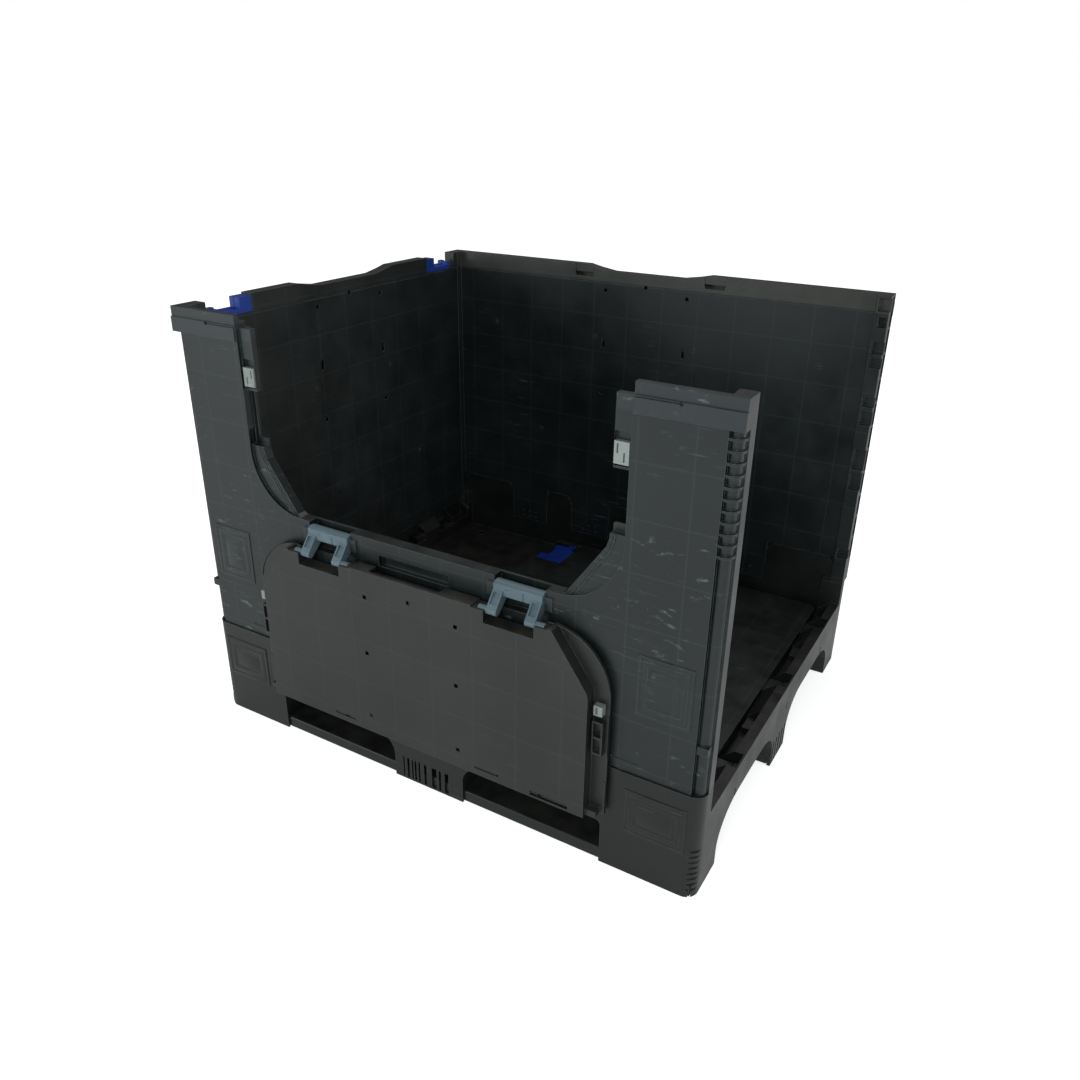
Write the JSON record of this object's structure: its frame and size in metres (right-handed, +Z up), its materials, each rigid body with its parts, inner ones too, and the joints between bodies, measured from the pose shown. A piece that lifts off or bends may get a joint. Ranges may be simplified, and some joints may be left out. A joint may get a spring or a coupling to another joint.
{
  "type": "folding bulk container",
  "caption": "Large folding plastic pallet box with fork openings, hinged end walls that fold flat, a drop-down loading door on swinging links, and sliding latches.",
  "frame": {"origin": "on the ground under the middle of the pallet base, on the middle runner's underside", "axes": "+X along the long side, +Z up, the side with the drop door faces -Y; right and left are as seen from the door side"},
  "size_m": [1.2, 1.038, 0.95],
  "materials": {
    "dark_plastic": "satin moulded",
    "blue_plastic": "satin moulded",
    "pale_plastic": "satin moulded",
    "link_plastic": "satin moulded",
    "steel": "drawn bar"
  },
  "bodies": {
    "base": {"pallet_base": "dark_plastic", "runner_front": "dark_plastic", "runner_middle": "dark_plastic", "runner_back": "dark_plastic", "front_wall": "dark_plastic", "back_wall": "dark_plastic", "front_wall_hinge_rod": "steel", "back_wall_hinge_rod": "steel", "right_wall_hinge_rod": "steel", "left_wall_hinge_rod": "steel", "door_link_pin_left": "steel", "door_link_pin_right": "steel"},
    "right_wall": {"right_wall": "dark_plastic"},
    "left_wall": {"left_wall": "dark_plastic"},
    "door_links": {"door_link_left": "link_plastic", "door_link_right": "link_plastic"},
    "drop_door": {"drop_door": "dark_plastic"},
    "right_wall_latch_front": {"right_wall_latch_front": "blue_plastic"},
    "right_wall_latch_back": {"right_wall_latch_back": "blue_plastic"},
    "left_wall_latch_front": {"left_wall_latch_front": "blue_plastic"},
    "left_wall_latch_back": {"left_wall_latch_back": "blue_plastic"},
    "post_latch_left": {"post_latch_left": "pale_plastic"},
    "post_latch_right": {"post_latch_right": "pale_plastic"},
    "door_catch_left": {"door_catch_left": "pale_plastic"},
    "door_catch_right": {"door_catch_right": "pale_plastic"}
  },
  "joints": [
    {"name": "right_wall_fold", "type": "hinge", "parent": "base", "child": "right_wall", "pos_m": [0.585, 0, 0.1405], "axis": [0, 1, 0], "range_deg": [0, 90]},
    {"name": "left_wall_fold", "type": "hinge", "parent": "base", "child": "left_wall", "pos_m": [-0.585, 0, 0.1725], "axis": [0, 1, 0], "range_deg": [0, 90]},
    {"name": "door_link_swing", "type": "hinge", "parent": "base", "child": "door_links", "pos_m": [0, -0.49343, 0.52957], "axis": [-1, 0, 0], "range_deg": [0, 151.01]},
    {"name": "drop_door_swing", "type": "hinge", "parent": "door_links", "child": "drop_door", "pos_m": [0, -0.524, 0.498], "axis": [-1, 0, 0], "range_deg": [0, 29.01]},
    {"name": "right_wall_latch_front_slide", "type": "slide", "parent": "right_wall", "child": "right_wall_latch_front", "axis": [0, -1, 0], "range_m": [0, 0.02]},
    {"name": "right_wall_latch_back_slide", "type": "slide", "parent": "right_wall", "child": "right_wall_latch_back", "axis": [0, 1, 0], "range_m": [0, 0.02]},
    {"name": "left_wall_latch_front_slide", "type": "slide", "parent": "left_wall", "child": "left_wall_latch_front", "axis": [0, -1, 0], "range_m": [0, 0.02]},
    {"name": "left_wall_latch_back_slide", "type": "slide", "parent": "left_wall", "child": "left_wall_latch_back", "axis": [0, 1, 0], "range_m": [0, 0.02]},
    {"name": "post_latch_left_slide", "type": "slide", "parent": "base", "child": "post_latch_left", "axis": [0, 0, 1], "range_m": [0, 0.012]},
    {"name": "post_latch_right_slide", "type": "slide", "parent": "base", "child": "post_latch_right", "axis": [0, 0, 1], "range_m": [0, 0.012]},
    {"name": "door_catch_left_slide", "type": "slide", "parent": "drop_door", "child": "door_catch_left", "axis": [-1, 0, 0], "range_m": [0, 0.012]},
    {"name": "door_catch_right_slide", "type": "slide", "parent": "drop_door", "child": "door_catch_right", "axis": [1, 0, 0], "range_m": [0, 0.012]}
  ],
  "couplings": [
    {"joint": "drop_door_swing", "follows": "door_link_swing", "ratio": 0.192}
  ]
}
